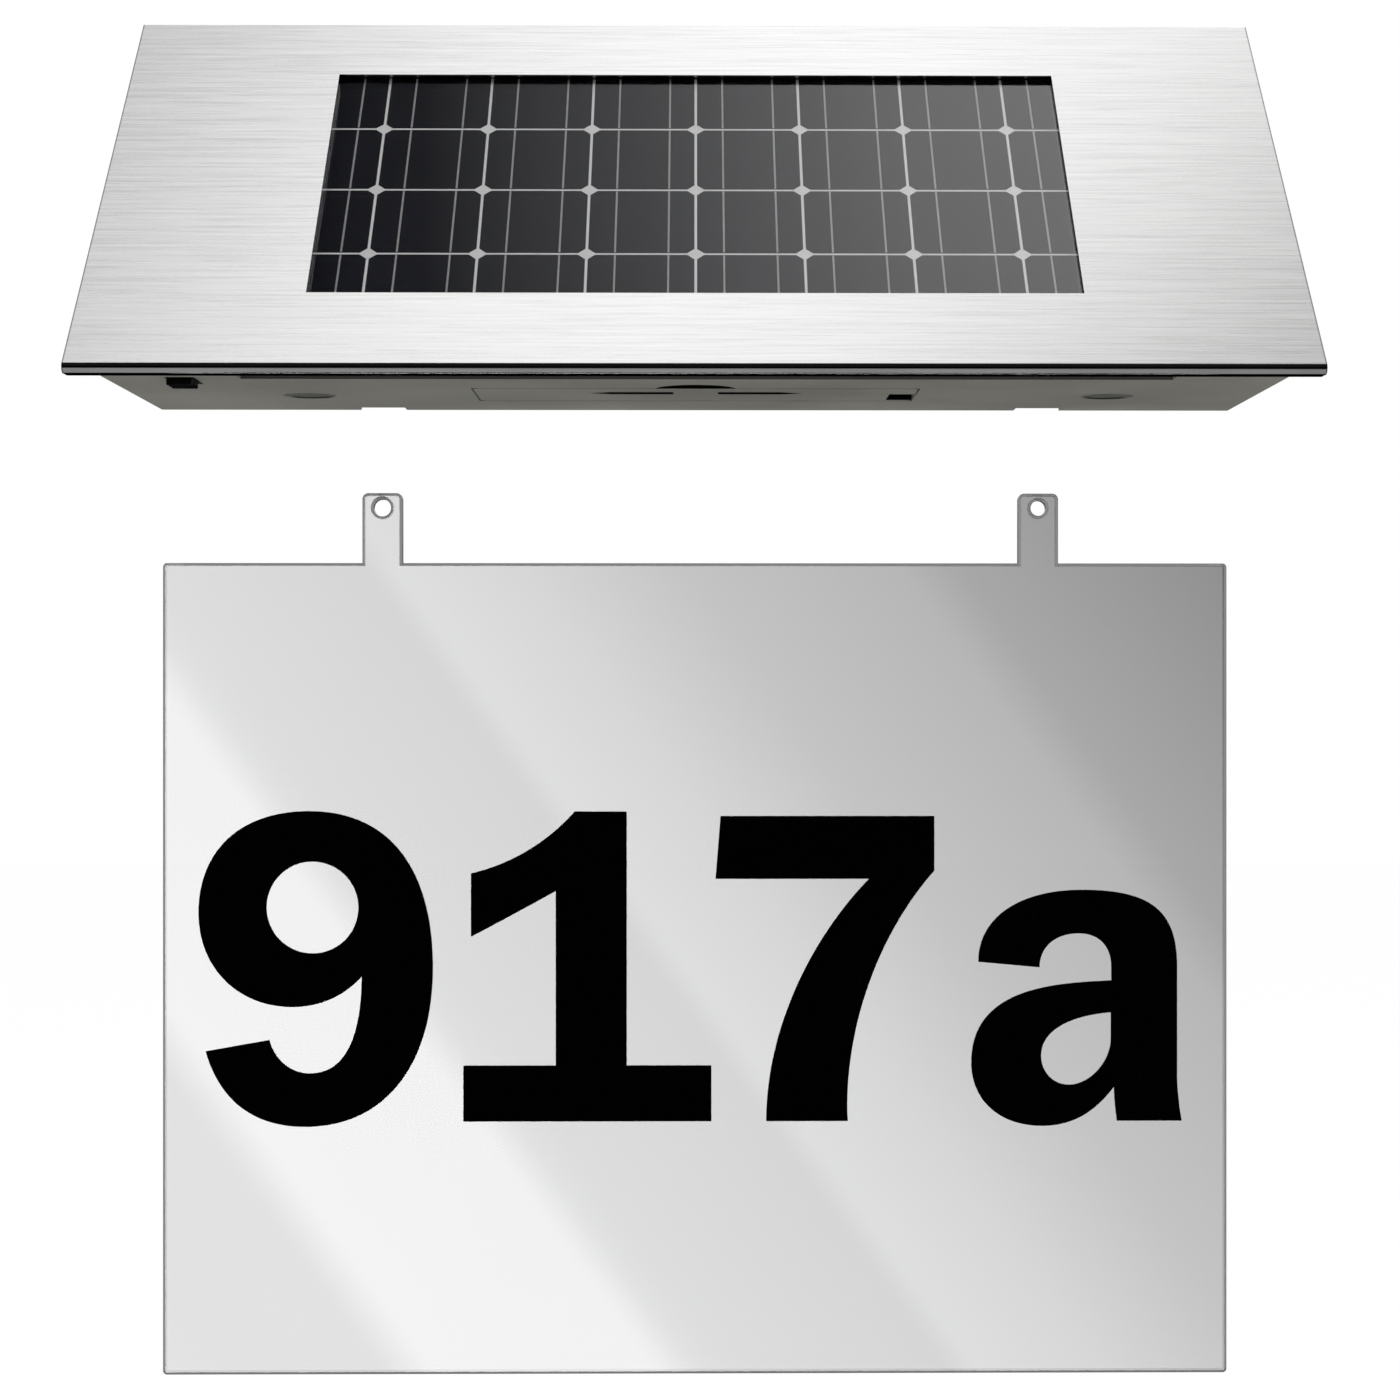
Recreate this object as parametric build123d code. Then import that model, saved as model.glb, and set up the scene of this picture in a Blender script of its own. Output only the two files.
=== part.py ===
from build123d import *
import os
from math import ceil, cos, radians, sin, tan

# Solar-lit house number plaque: a wedge-shaped lamp head that hangs on the wall, and a clear number pane
# that is pushed up into it from below. The pane is drawn down out of its slots, as it is shown.
# Millimetres. +X is to the right seen from the front, +Y points at the wall and +Z is up. The wall is y = 0.
# Heights are counted from the underside of the housing floor, and lengths from the wall are positive.
# At the end every piece is lowered, so that the origin lies midway between the two keyholes.

# Number pane
pane_width = 210.0
pane_height = 160.0
pane_thick = 3.0
pane_corner = 0.8
pane_bevel = 0.55
pane_drop = 30.6
tab_insets = (43.2, 37.3)
tab_width = 7.9
tab_height = 13.8
tab_corner = 1.2
tab_hole_radii = (1.7, 1.5)
tab_hole_drop = 2.9
seat_gap = 0.3

# Foil characters on the pane, drawn at a set width that is then fitted between the side margins
foil_thick = 0.3
number_left = 7.1
number_right = 9.0
number_rise = 49.9
set_width = 193.9
set_starts = (0.0, 52.1, 101.8, 152.3)

# Steel roof
roof_pitch = 45.0
head_rise = 76.9
roof_overhang = 3.3
roof_thick = 1.0
roof_fold = 1.1
lip_depth = 4.8
lip_gap = 0.2
window_width = 138.3
window_back = 17.5
window_front = 18.7

# Foam gasket between roof and housing
gasket_thick = 0.8
gasket_inset = 2.5
gasket_front = 9.0
gasket_clear = 0.5

# Solar panel, laid in a tray in the deck
panel_overlap = 4.5
panel_border = 1.6
panel_clear = 0.3
glass_gap = 0.1
glass_thick = 1.6
film_gap = 0.05
busbar_thick = 0.1
busbar_width = 0.35
busbar_places = (0.26, 0.75)
busbar_break = 0.25
cell_thick = 0.1
cell_pitch = 19.8
cell_gap_across = 0.5
cell_gap_along = 0.5
cell_chamfer = 1.3
first_joint_row = 15.7
backsheet_thick = 1.2
tray_wall = 1.6

# Moulded housing
pane_inset = 1.1
wall = 2.2
floor_edge = 0.3
nose_face = 1.2
strip_insets = (24.4, 20.2)
strip_setback = 17.3
strip_depth = 0.9
dent_radius = 7.5
dent_centre = 39.2
dent_depth = 1.3

# Rear cover with keyholes and tab pockets
cover_thick = 2.0
cover_gap = 0.3
pocket_width = 9.0
pocket_depth = 4.6
pocket_wall = 1.6
pocket_headroom = 2.5
tab_play = 0.2
tab_pilot = 1.1
tab_boss = 3.2
tab_boss_length = 6.0
keyhole_spacing = 110.0
keyhole_height = 48.0
keyhole_entry = 4.5
keyhole_slot = 2.2
keyhole_run = 9.0

# Screws
screw_clear = 0.2
cover_screw_head = 2.8
cover_screw_head_depth = 1.6
cover_screw_recess = 0.1
cover_screw_shank = 1.3
cover_screw_length = 10.0
boss_half = 4.0
boss_length = 12.0
boss_inset = 7.6
lower_boss = 12.0
boss_headroom = 1.0
board_screw_head = 2.4
board_screw_head_height = 1.7
board_screw_shank = 1.1
board_screw_length = 5.5
pilot_clear = 0.1
cross_length = 3.2
cross_width = 0.7
cross_depth = 0.9

# Battery bay in the floor
lid_half = 41.3
lid_back = 18.4
lid_depth = 21.7
lid_thick = 1.6
lid_corner = 1.5
lid_gap = 0.3
lid_slot_inner = 4.2
lid_slot_outer = 20.0
lid_slot_taper = 4.0
lid_slot_half = 1.9
lid_slot_setback = 13.7
lid_notch_length = 4.8
lid_notch_width = 10.5
lid_notch_setback = 1.7
lid_rib_places = (-24.0, 0.0, 24.0)
lid_rib_width = 1.4
lid_rib_gap = 0.3
tongue_places = (-25.0, 25.0)
tongue_width = 8.0
tongue_reach = 2.3
tongue_thick = 1.2
tongue_root = 1.2
tongue_gap = 0.2
tongue_room = 3.0
latch_half = 6.0
latch_setback = 0.9
latch_thick = 1.4
latch_height = 3.2
bay_wall = 1.6
bay_step = 6.0
saddle_places = (-20.0, 12.0)
saddle_width = 2.0
cell_radius = 9.2
cell_length = 65.0
cell_edge = 0.9
cell_play = 0.25
cell_lift = 2.2
cap_radius = 3.0
cap_height = 0.9
contact_thick = 0.5
contact_half_width = 5.0
contact_half_height = 5.5
contact_tag_width = 3.0
contact_tag_proud = 1.6
contact_tag_shift = 3.5
leaf_thick = 0.4
leaf_end_gap = 0.6

# Boards, lamps and switch
board_lift = 5.8
board_thick = 1.6
board_inset = 5.6
board_bay_gap = 4.8
board_back = 21.0
board_front = 46.0
board_arm = 16.0
board_deck_gap = 2.0
board_hole_inset = 6.0
board_boss = 3.0
lamp_insets = (33.1, 28.0)
lamp_setback = 26.7
lamp_hole = 5.0
lens_clear = 0.2
lens_recess = 0.3
lens_flange = 1.6
lens_flange_thick = 1.2
led_half = 2.5
led_thick = 1.4
led_dome = 1.0
led_dome_radius = 2.2
led_dome_tip = 1.6
lamp_board_half = 13.0
lamp_board_depth = 16.0
lamp_board_back = 19.5
lamp_board_hole = 3.5
switch_inset = 13.75
switch_half_width = 3.3
switch_length = 14.0
switch_setback = 0.4
switch_floor_gap = 0.4
knob_width = 4.5
knob_length = 7.1
knob_setback = 0.9
knob_proud = 1.3
knob_travel = 4.0
knob_gap = 0.35
knob_ridges = 3
knob_ridge = 0.5
stem_width = 2.0
stem_length = 3.0
stem_height = 2.6

# Flat insulated leads inside the head
lead_width = 2.4
lead_thick = 0.9
lead_bend = 3.0
lead_spacing = 3.0
lead_edge = 1.7
lead_clearance = 3.4
panel_lead_inset = 13.65
panel_lead_down = 50.0
panel_lead_reach = 9.0
panel_lead_clear = 1.0

# Values that follow
slope_sin = sin(radians(roof_pitch))
slope_cos = cos(radians(roof_pitch))
slope_tan = tan(radians(roof_pitch))
housing_width = pane_width + 2 * pane_inset
half_width = housing_width / 2
roof_width = housing_width + 2 * roof_overhang
deck_depth = roof_thick + gasket_thick
glass_top = roof_thick + glass_gap
glass_bottom = glass_top + glass_thick
busbar_top = glass_bottom + film_gap
cell_top = busbar_top + busbar_thick
backsheet_top = cell_top + cell_thick
tray_floor = backsheet_top + backsheet_thick
lip_top = -lip_gap
lip_bottom = lip_top - roof_thick
roof_back_y = -roof_thick * slope_sin
roof_plane = Plane(
    origin=(0, roof_back_y, head_rise + roof_back_y * slope_tan),
    x_dir=(1, 0, 0),
    z_dir=(0, -slope_sin, slope_cos),
)


def height_under_roof(y, depth):
    """Height at y of the plane that lies the given depth below the roof's outer face."""
    return head_rise + y * slope_tan - depth / slope_cos


def y_under_roof(height, depth):
    """Place along Y where that plane has the given height."""
    return (height - head_rise + depth / slope_cos) / slope_tan


fold_centre_y = y_under_roof(lip_bottom + roof_fold, roof_fold)
roof_front_y = fold_centre_y - roof_fold
slope_length = (fold_centre_y - roof_back_y) / -slope_cos
window_end = slope_length - window_front
panel_half = window_width / 2 + panel_overlap
panel_lead_x = -panel_half + panel_lead_inset
panel_start = window_back - panel_overlap
panel_end = window_end + panel_overlap
deck_inner = deck_depth + wall
nose_y = y_under_roof(nose_face, deck_depth)
lid_front = lid_back + lid_depth
bay_half = lid_half + lid_gap
bay_back_y = -(lid_back - lid_gap)
bay_front_y = -(lid_front + lid_gap)
cell_y = (bay_back_y + bay_front_y) / 2
cell_z = lid_thick + cell_lift + cell_radius
bay_top = cell_z + cell_radius + wall
step_x = -bay_half + bay_step
cell_left = step_x + contact_thick + cap_height + cell_play
cell_right = cell_left + cell_length
tag_y = cell_y + contact_tag_shift
board_bottom = wall + board_lift
board_top = board_bottom + board_thick
board_left = -half_width + board_inset
board_right = -(bay_half + bay_wall + board_bay_gap)
board_nose_y = y_under_roof(board_top, deck_inner) + board_deck_gap
switch_x = -half_width + switch_inset
switch_front_y = board_nose_y + switch_setback
knob_front_y = switch_front_y + knob_setback
pane_front_y = -(pocket_depth - tab_play)
pane_back_y = pane_front_y + pane_thick
pane_top = -pane_drop
tab_centres = (-pane_width / 2 + tab_insets[0], pane_width / 2 - tab_insets[1])
tab_hole_rise = tab_height - tab_hole_drop
pocket_top = tab_height - seat_gap + pocket_headroom
boss_face_y = -cover_thick
boss_end_y = boss_face_y - boss_length
boss_x = half_width - boss_inset
upper_boss = height_under_roof(boss_end_y, deck_inner) - boss_half - boss_headroom
cover_screw_places = [(side * boss_x, z) for side in (-1, 1) for z in (lower_boss, upper_boss)]
lamp_y = -lamp_setback
lamp_places = (-half_width + lamp_insets[0], half_width - lamp_insets[1])
lamp_board_x = (lamp_places[1] - lamp_board_half, lamp_places[1] + lamp_board_half)
lamp_board_y = (-lamp_board_back - lamp_board_depth, -lamp_board_back)
lead_end_x = board_right - lead_edge
board_screw_places = [
    (board_left + board_hole_inset, -board_back - board_hole_inset),
    (board_right - board_hole_inset, -board_front + board_hole_inset),
    (lamp_board_x[0] + lamp_board_hole, lamp_board_y[0] + lamp_board_hole),
    (lamp_board_x[1] - lamp_board_hole, lamp_board_y[1] - lamp_board_hole),
]


def bar(x, y, z):
    """Block between a low and a high limit on each axis."""
    limits = (x, y, z)
    middle = [(low + high) / 2 for low, high in limits]
    size = [high - low for low, high in limits]
    return Pos(*middle) * Box(*size)


def post(x, y, z, radius):
    """Upright round post between two heights."""
    return Pos(x, y, sum(z) / 2) * Cylinder(radius, z[1] - z[0])


def peg(x, z, y, radius):
    """Round peg along Y between two places."""
    return Pos(x, sum(y) / 2, z) * Rot(90, 0, 0) * Cylinder(radius, y[1] - y[0])


def slab(x, down, depth):
    """Block parallel to the roof: down the slope from its back edge, and in depth below its outer face."""
    return roof_plane * bar(x, (-down[1], -down[0]), (-depth[1], -depth[0]))


def polygon(*points):
    return make_face(Polyline(*points, close=True))


def run_across(outline, width):
    """Side outline, given as (y, z), run across a width that is centred on x = 0."""
    return extrude(Plane.YZ * outline, width / 2, both=True)


def round_corner(outline, corner, radius):
    return fillet(outline.vertices().sort_by_distance((*corner, 0))[0], radius)


def both_sides(half):
    return (-half, half)


def group(items):
    """Separate solids that share one node."""
    return Compound(children=[item.solid() for item in items])


# Roof, gasket and panel

def make_roof_sheet():
    outer_fold = (y_under_roof(lip_bottom, 0), lip_bottom)
    inner_fold = (y_under_roof(lip_top, roof_thick), lip_top)
    lip_end_y = roof_front_y + lip_depth
    outline = polygon(
        (roof_back_y, height_under_roof(roof_back_y, 0)),
        outer_fold,
        (lip_end_y, lip_bottom),
        (lip_end_y, lip_top),
        inner_fold,
        (0, height_under_roof(0, roof_thick)),
    )
    outline = round_corner(outline, outer_fold, roof_fold)
    outline = round_corner(outline, inner_fold, roof_fold - roof_thick)
    window = slab(both_sides(window_width / 2), (window_back, window_end), (-1, 2 * roof_thick))
    return run_across(outline, roof_width) - window


def make_roof_gasket():
    half = half_width - gasket_inset
    hole = panel_half + gasket_clear
    layer = (roof_thick, deck_depth)
    frame = slab(both_sides(half), (gasket_inset, slope_length - gasket_front), layer)
    return frame - slab(both_sides(hole), (panel_start - gasket_clear, panel_end + gasket_clear), layer)


def make_solar_glass():
    return slab(both_sides(panel_half), (panel_start, panel_end), (glass_top, glass_bottom))


def make_solar_backsheet():
    return slab(both_sides(panel_half), (panel_start, panel_end), (backsheet_top, tray_floor))


def cell_area():
    """Half width, start and end down the slope of the field that the cells fill."""
    return panel_half - panel_border, panel_start + panel_border, panel_end - panel_border


def cell_grid():
    """Column and row numbers of the cells: columns count from the middle, rows from the first joint row."""
    half, start, end = cell_area()
    last_row = end - window_back - first_joint_row
    columns = ceil((half - cell_gap_across / 2) / cell_pitch)
    rows = ceil((last_row - cell_gap_along / 2) / cell_pitch)
    return [(column, row) for row in range(-1, rows) for column in range(-columns, columns)]


def row_limits(row):
    first = window_back + first_joint_row + row * cell_pitch
    return first, first + cell_pitch


def make_solar_cells():
    """Square wafers with cut corners, the outer ones trimmed to the edge of the panel."""
    half, start, end = cell_area()
    field = Pos(0, -(start + end) / 2) * Rectangle(2 * half, end - start)
    wafer = Rectangle(cell_pitch - cell_gap_across, cell_pitch - cell_gap_along)
    wafer = chamfer(wafer.vertices(), cell_chamfer)
    cells = []
    for column, row in cell_grid():
        centre = Pos((column + 0.5) * cell_pitch, -sum(row_limits(row)) / 2)
        trimmed = (centre * wafer) & field
        cells.append(extrude(roof_plane * Pos(0, 0, -backsheet_top) * trimmed, cell_thick))
    return group(cells)


def make_cell_busbars():
    half, start, end = cell_area()
    bars = []
    for column, row in cell_grid():
        first, last = row_limits(row)
        margin = cell_gap_along / 2 + busbar_break
        down = (max(first + margin, start), min(last - margin, end))
        for place in busbar_places:
            middle = (column + place) * cell_pitch
            if abs(middle) + busbar_width < half:
                across = (middle - busbar_width / 2, middle + busbar_width / 2)
                bars.append(slab(across, down, (busbar_top, cell_top)))
    return group(bars)


# Housing

def housing_shell():
    outer = polygon((0, 0), (nose_y, 0), (nose_y, nose_face), (0, height_under_roof(0, deck_depth)))
    inner = polygon(
        (wall, wall),
        (y_under_roof(wall, deck_inner), wall),
        (wall, height_under_roof(wall, deck_inner)),
    )
    solid = run_across(outer, housing_width)
    side_edges = solid.edges().filter_by(Axis.Y).filter_by_position(Axis.Z, -0.1, 0.1)
    return fillet(side_edges, floor_edge) - run_across(inner, housing_width - 2 * wall)


def panel_tray():
    margin = panel_clear + tray_wall
    return slab(
        both_sides(panel_half + margin),
        (panel_start - margin, panel_end + margin),
        (deck_depth, tray_floor + tray_wall),
    )


def panel_pocket():
    return slab(
        both_sides(panel_half + panel_clear),
        (panel_start - panel_clear, panel_end + panel_clear),
        (0, tray_floor),
    )


def battery_bay():
    """Walls round the lid's opening, a step for the plate contact, and saddles that hold the cell down."""
    inside = (both_sides(bay_half), (bay_front_y, bay_back_y), (wall, bay_top))
    outside = (
        both_sides(bay_half + bay_wall),
        (bay_front_y - bay_wall, bay_back_y + bay_wall),
        (wall, bay_top),
    )
    bay = bar(*outside) - bar(*inside)
    bay += bar((-bay_half, step_x), (bay_front_y, bay_back_y), (lid_thick + cell_lift, bay_top))
    for place in saddle_places:
        rib = (place - saddle_width / 2, place + saddle_width / 2)
        bay += bar(rib, (bay_front_y, bay_back_y), (cell_z, bay_top))
    for place in tongue_places:
        half = tongue_width / 2 + lid_gap
        window = (place - half, place + half)
        room = (wall, wall + tongue_gap + tongue_thick + tongue_room)
        bay -= bar(window, (bay_back_y - bay_wall, bay_back_y + 2 * bay_wall), room)
    room_length = 2 * bay_half - bay_step
    room = Cylinder(cell_radius + cell_play, room_length)
    return bay - Pos((step_x + bay_half) / 2, cell_y, cell_z) * Rot(0, 90, 0) * room


def cover_bosses():
    """Blocks on the side walls that take the rear cover's screws."""
    bosses = []
    for x, z in cover_screw_places:
        side = 1 if x > 0 else -1
        across = sorted((x - side * boss_half, side * (half_width - wall / 2)))
        bosses.append(bar(across, (boss_end_y, boss_face_y), (z - boss_half, z + boss_half)))
    return bosses


def board_bosses():
    return [post(x, y, (wall / 2, board_bottom), board_boss) for x, y in board_screw_places]


def switch_slot():
    half = knob_width / 2 + knob_gap
    length = (knob_front_y - knob_gap, knob_front_y + knob_length + knob_travel + knob_gap)
    return bar((switch_x - half, switch_x + half), length, (-1, 2 * wall))


def floor_openings():
    """Cuts in the floor: lid opening, lamp holes, switch slot, tab slots, recessed strip and finger dent."""
    through = (-1, wall)
    cuts = [bar(both_sides(bay_half), (bay_front_y, bay_back_y), through), switch_slot()]
    cuts += [post(x, lamp_y, (-1, 2 * wall), lamp_hole) for x in lamp_places]
    for x in tab_centres:
        slot = (x - pocket_width / 2, x + pocket_width / 2)
        cuts.append(bar(slot, (-pocket_depth, 1), (-1, 2 * wall)))
    strip_back_y = nose_y + strip_setback
    strip = (-half_width + strip_insets[0], half_width - strip_insets[1])
    cuts.append(bar(strip, (nose_y - 1, strip_back_y), (-1, strip_depth)))
    cuts.append(post(0, -dent_centre, (-1, dent_depth), dent_radius))
    return cuts


def screw_pilots():
    cover_pilot = cover_screw_shank + pilot_clear
    board_pilot = board_screw_shank + pilot_clear
    cuts = [peg(x, z, (boss_end_y + wall, 0), cover_pilot) for x, z in cover_screw_places]
    cuts += [post(x, y, (wall, board_top), board_pilot) for x, y in board_screw_places]
    return cuts


def panel_lead_slot():
    half_across = lead_width / 2 + panel_lead_clear
    half_down = lead_thick / 2 + panel_lead_clear
    across = (panel_lead_x - half_across, panel_lead_x + half_across)
    down = (panel_lead_down - half_down, panel_lead_down + half_down)
    return slab(across, down, (0, tray_floor + 2 * tray_wall))


def make_housing():
    solid = housing_shell() + panel_tray() + battery_bay() + cover_bosses() + board_bosses()
    return solid - [panel_pocket(), panel_lead_slot(), *floor_openings(), *screw_pilots()]


# Rear cover and screws

def keyhole(x):
    """Round entry with a narrow slot above it, into which the wall screw slides as the head is let down."""
    through = (-2 * cover_thick, 1)
    top = keyhole_height + keyhole_run
    slot = bar((x - keyhole_slot, x + keyhole_slot), through, (keyhole_height, top))
    return peg(x, keyhole_height, through, keyhole_entry) + slot + peg(x, top, through, keyhole_slot)


def screw_seat(x, z):
    """Countersunk hole through the rear cover, a clearance wider than its screw."""
    hole = cover_screw_shank + screw_clear
    depth = cover_screw_head_depth + cover_screw_recess
    sink = Cone(hole, cover_screw_head + screw_clear, depth)
    return Pos(x, -depth / 2, z) * Rot(-90, 0, 0) * sink + peg(x, z, (-2 * cover_thick, 0), hole)


def make_rear_cover():
    low = wall + cover_gap
    slack = cover_gap / slope_cos
    outline = polygon(
        (0, low),
        (-cover_thick, low),
        (-cover_thick, height_under_roof(-cover_thick, deck_inner) - slack),
        (0, height_under_roof(0, deck_inner) - slack),
    )
    cover = run_across(outline, housing_width - 2 * wall - 2 * cover_gap)
    pilot_height = tab_hole_rise - seat_gap
    back_y = -(pocket_depth + pocket_wall)
    for x in tab_centres:
        half = pocket_width / 2 + pocket_wall
        cover += bar((x - half, x + half), (back_y, 0), (low, pocket_top + pocket_wall))
        height = (pilot_height - tab_boss, pilot_height + tab_boss)
        cover += bar((x - tab_boss, x + tab_boss), (back_y - tab_boss_length, back_y), height)
    for x in tab_centres:
        half = pocket_width / 2
        cover -= bar((x - half, x + half), (-pocket_depth, 1), (low - 1, pocket_top))
        cover -= peg(x, pilot_height, (back_y - tab_boss_length, 1), tab_pilot)
    cover -= [screw_seat(x, z) for x, z in cover_screw_places]
    return cover - [keyhole(x) for x in both_sides(keyhole_spacing / 2)]


def screw(head, shank, length, top):
    """Screw that points down, its shank starting at height 0, with a cross in the top of its head."""
    body = head + Pos(0, 0, -length / 2) * Cylinder(shank, length)
    cross = Box(cross_length, cross_width, 2 * cross_depth)
    return body - [Pos(0, 0, top) * Rot(0, 0, turn) * cross for turn in (0, 90)]


def make_rear_cover_screws():
    """Countersunk screws, let into the rear cover a little deeper than flush."""
    depth = cover_screw_head_depth
    head = Pos(0, 0, -depth / 2) * Cone(cover_screw_shank, cover_screw_head, depth)
    body = screw(head, cover_screw_shank, cover_screw_length, 0)
    return group(Pos(x, -cover_screw_recess, z) * Rot(-90, 0, 0) * body for x, z in cover_screw_places)


def make_board_screws():
    """Flat-topped screws that clamp the boards to their bosses."""
    height = board_screw_head_height
    head = Pos(0, 0, height / 2) * Cylinder(board_screw_head, height)
    body = screw(head, board_screw_shank, board_screw_length, height)
    return group(Pos(x, y, board_top) * body for x, y in board_screw_places)


# Battery and its lid

def lid_slot(side):
    """Slot through the lid, with a pointed outer end."""
    y = -lid_back - lid_slot_setback
    taper = lid_slot_outer - lid_slot_taper
    outline = polygon(
        (side * lid_slot_inner, y - lid_slot_half),
        (side * taper, y - lid_slot_half),
        (side * lid_slot_outer, y),
        (side * taper, y + lid_slot_half),
        (side * lid_slot_inner, y + lid_slot_half),
    )
    return extrude(outline, 2 * lid_thick, both=True)


def make_battery_cover():
    """Lid with two tongues that hook over the floor at its back edge and let its front swing down."""
    middle_y = -(lid_back + lid_front) / 2
    plate = extrude(Pos(0, middle_y) * RectangleRounded(2 * lid_half, lid_depth, lid_corner), lid_thick)
    notch_y = -lid_back - lid_notch_setback
    notch = ((lid_half - lid_notch_length, lid_half + 1), (notch_y - lid_notch_width, notch_y))
    plate -= [bar(*notch, (-1, 2 * lid_thick)), lid_slot(-1), lid_slot(1)]
    rib_top = lid_thick + cell_lift - lid_rib_gap
    rib_front_y = -lid_back - lid_slot_setback + 2 * lid_slot_half
    for place in lid_rib_places:
        rib = (place - lid_rib_width / 2, place + lid_rib_width / 2)
        plate += bar(rib, (rib_front_y, -lid_back - tongue_root), (lid_thick / 2, rib_top))
    low = wall + tongue_gap
    for place in tongue_places:
        across = (place - tongue_width / 2, place + tongue_width / 2)
        plate += bar(across, (-lid_back - tongue_root, -lid_back), (lid_thick / 2, low + tongue_thick))
        plate += bar(across, (-lid_back - tongue_root, -lid_back + tongue_reach), (low, low + tongue_thick))
    latch_y = (-lid_front + latch_setback, -lid_front + latch_setback + latch_thick)
    return plate + bar(both_sides(latch_half), latch_y, (lid_thick / 2, lid_thick + latch_height))


def make_battery_cell():
    can = Cylinder(cell_radius, cell_length)
    can = chamfer(can.edges().filter_by(GeomType.CIRCLE), cell_edge)
    cap = Pos(0, 0, -(cell_length + cap_height) / 2) * Cylinder(cap_radius, cap_height)
    return Pos((cell_left + cell_right) / 2, cell_y, cell_z) * Rot(0, 90, 0) * (can + cap)


def contact_plate(x):
    """Flat contact with a narrow solder tag that stands above the bay."""
    width = (cell_y - contact_half_width, cell_y + contact_half_width)
    height = (cell_z - contact_half_height, cell_z + contact_half_height)
    tag = (tag_y - contact_tag_width / 2, tag_y + contact_tag_width / 2)
    return bar(x, width, height) + bar(x, tag, (cell_z, bay_top + contact_tag_proud))


def make_battery_plate():
    return contact_plate((step_x, step_x + contact_thick))


def make_battery_spring():
    """Flat base on the end wall with a bowed leaf that presses on the cell."""
    base_x = bay_half - contact_thick
    top = contact_half_height
    crown_x = cell_right + leaf_end_gap - cell_play
    outer = ThreePointArc((base_x, -top), (crown_x, 0), (base_x, top))
    inner_top = top - leaf_thick
    inner = ThreePointArc((base_x, inner_top), (crown_x + leaf_thick, 0), (base_x, -inner_top))
    ends = [Line(outer @ 1, inner @ 0), Line(inner @ 1, outer @ 0)]
    leaf = Plane.XZ * make_face([outer, inner, *ends])
    leaf = extrude(leaf, contact_half_width, both=True)
    return contact_plate((base_x, bay_half)) + Pos(0, cell_y, cell_z) * leaf


# Boards, lamps and switch

def make_circuit_board():
    layer = (board_bottom, board_top)
    board = bar((board_left, board_right), (-board_front, -board_back), layer)
    board += bar((board_left, board_left + board_arm), (board_nose_y, -board_front), layer)
    return board - board_holes()


def make_led_board():
    return bar(lamp_board_x, lamp_board_y, (board_bottom, board_top)) - board_holes()


def board_holes():
    radius = board_screw_shank + screw_clear
    return [post(x, y, (wall, 2 * board_top), radius) for x, y in board_screw_places]


def make_led(x):
    """Square package on the underside of its board, with a tapered dome that points down."""
    package = bar((x - led_half, x + led_half), (lamp_y - led_half, lamp_y + led_half), (-led_thick, 0))
    dome = Pos(x, lamp_y, -led_thick - led_dome / 2) * Cone(led_dome_tip, led_dome_radius, led_dome)
    return Pos(0, 0, board_bottom) * (package + dome)


def make_led_lens(x):
    """Turned lens: a disc in the floor's hole, with a flange that seats on the floor."""
    rim = lamp_hole - lens_clear
    flange = lamp_hole + lens_flange
    top = wall + lens_flange_thick
    outline = polygon(
        (0, lens_recess),
        (rim, lens_recess),
        (rim, wall),
        (flange, wall),
        (flange, top),
        (0, top),
    )
    return Pos(x, lamp_y, 0) * revolve(Plane.XZ * outline, Axis.Z)


def make_switch_body():
    across = (switch_x - switch_half_width, switch_x + switch_half_width)
    along = (switch_front_y, switch_front_y + switch_length)
    body = bar(across, along, (wall + switch_floor_gap, board_bottom))
    stem_front = knob_front_y + (knob_length - stem_length) / 2
    half = stem_width / 2 + knob_gap
    groove = (stem_front - knob_gap, stem_front + stem_length + knob_travel + knob_gap)
    return body - bar((switch_x - half, switch_x + half), groove, (0, wall + stem_height + knob_gap))


def make_switch_knob():
    """Knob that stands out of the floor, with grip ridges below and a stem up into the switch."""
    across = (switch_x - knob_width / 2, switch_x + knob_width / 2)
    along = (knob_front_y, knob_front_y + knob_length)
    knob = bar(across, along, (-knob_proud + knob_ridge, wall))
    pitch = knob_length / (2 * knob_ridges - 1)
    for number in range(knob_ridges):
        start = knob_front_y + 2 * number * pitch
        knob += bar(across, (start, start + pitch), (-knob_proud, -knob_proud + 2 * knob_ridge))
    stem_front = knob_front_y + (knob_length - stem_length) / 2
    half = stem_width / 2
    stem = ((switch_x - half, switch_x + half), (stem_front, stem_front + stem_length))
    return knob + bar(*stem, (0, wall + stem_height))


# Leads

def lead(across, *points):
    """Flat insulated lead along straight runs with rounded turns, its width along the given direction."""
    path = FilletPolyline(*points, radius=lead_bend)
    start = Plane(origin=points[0], x_dir=across, z_dir=path % 0)
    return sweep(start * Rectangle(lead_width, lead_thick), path=path)


def make_solar_lead():
    """Two-core lead from the back of the panel, through the tray, down to the circuit board."""
    start = roof_plane.from_local_coords((panel_lead_x, -panel_lead_down, -tray_floor))
    turn = roof_plane.from_local_coords((panel_lead_x, -panel_lead_down, -tray_floor - panel_lead_reach))
    return lead((1, 0, 0), start, turn, (panel_lead_x, turn.Y, board_top))


def raised_lead(y, start, top, end):
    """Lead in a plane across the head, up from its start, over to above its end and down to the board."""
    return lead(
        (0, 1, 0),
        (start[0], y, start[1]),
        (start[0], y, top),
        (end, y, top),
        (end, y, board_top),
    )


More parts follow.
